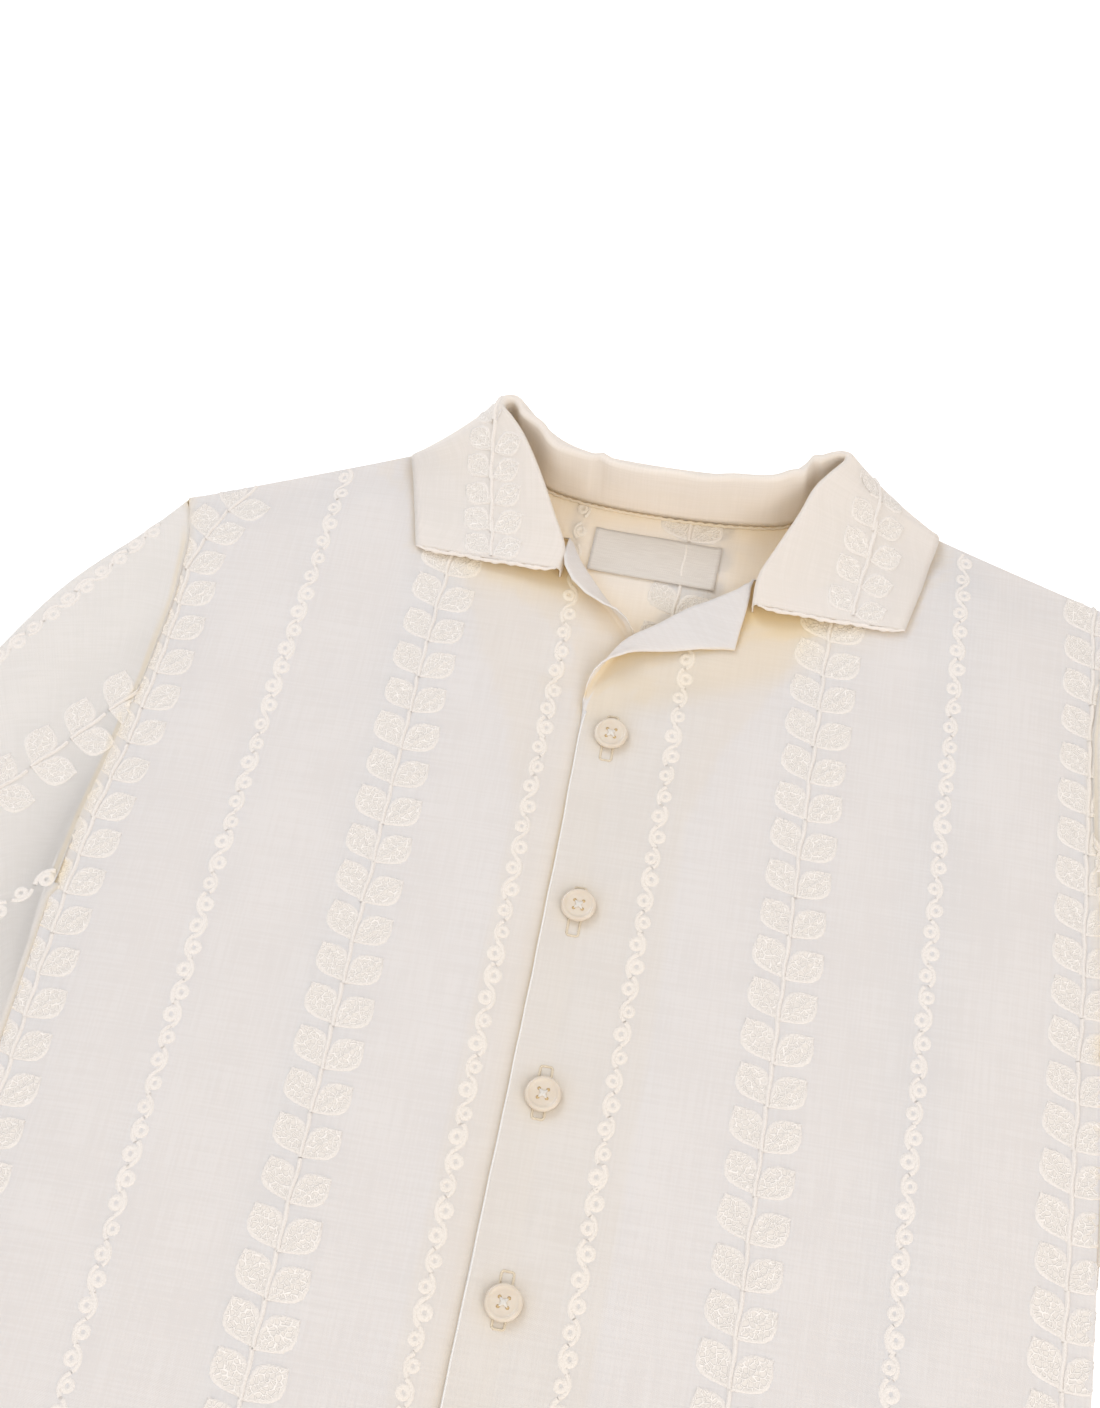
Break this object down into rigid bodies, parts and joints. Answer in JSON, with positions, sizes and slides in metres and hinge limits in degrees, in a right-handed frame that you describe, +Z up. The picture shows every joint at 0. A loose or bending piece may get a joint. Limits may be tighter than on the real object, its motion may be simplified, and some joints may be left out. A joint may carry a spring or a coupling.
{
  "type": "camp collar shirt",
  "caption": "Short-sleeved camp collar shirt for a child, buttoned and laid flat on its back, in cream cotton with leaf and chain embroidery in stripes.",
  "frame": {"origin": "centre of the bounding box's base, on the surface that the shirt lies on", "axes": "+Z up from the surface, +Y from hem to collar, +X to the wearer's left, which is the viewer's right"},
  "size_m": [0.524, 0.5124, 0.03],
  "materials": {
    "shirt_cloth": "fine plain weave cotton, matte",
    "label_tape": "woven satin tape, low sheen",
    "button_plastic": "soft satin"
  },
  "bodies": {
    "root": {"back": "shirt_cloth", "front_left": "shirt_cloth", "front_right": "shirt_cloth", "sleeve_left": "shirt_cloth", "sleeve_right": "shirt_cloth", "collar": "shirt_cloth", "label": "label_tape", "button_1": "button_plastic", "button_2": "button_plastic", "button_3": "button_plastic", "button_4": "button_plastic", "button_5": "button_plastic", "button_6": "button_plastic"}
  },
  "joints": []
}
